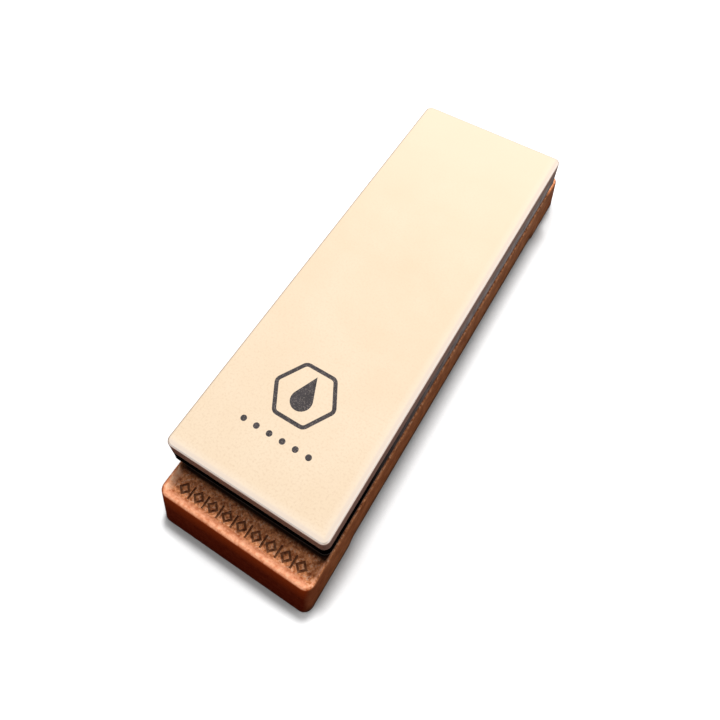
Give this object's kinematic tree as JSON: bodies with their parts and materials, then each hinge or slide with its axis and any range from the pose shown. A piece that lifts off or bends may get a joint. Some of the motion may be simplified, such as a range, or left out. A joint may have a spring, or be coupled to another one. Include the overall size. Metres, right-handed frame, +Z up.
{
  "type": "sharpening whetstone",
  "caption": "Flat fine-grit water stone slab with lacquered sides, bonded over a black spacer pad to a moulded plastic base with end ledges.",
  "frame": {"origin": "middle of the base's footprint, on the surface that it stands on", "axes": "+Z up through the working face, +Y along the slab away from the wider ledge, +X across the slab"},
  "size_m": [0.073, 0.2414, 0.0468],
  "materials": {
    "base_plastic": "satin reddish-brown moulded plastic with a fine mottled grain",
    "adhesive": "dark set adhesive",
    "pad_rubber": "black, slightly glossy",
    "stone": "cream, very fine and matt",
    "seal": "black sealing coat, semi-gloss",
    "lacquer": "taupe lacquer, semi-gloss",
    "ink": "thin matt print, soaked into the stone"
  },
  "bodies": {
    "root": {"base": "base_plastic", "base_adhesive": "adhesive", "spacer_pad": "pad_rubber", "slab_adhesive": "adhesive", "stone_slab": "stone", "lower_seal": "seal", "side_lacquer": "lacquer", "printed_mark": "ink"}
  },
  "joints": []
}
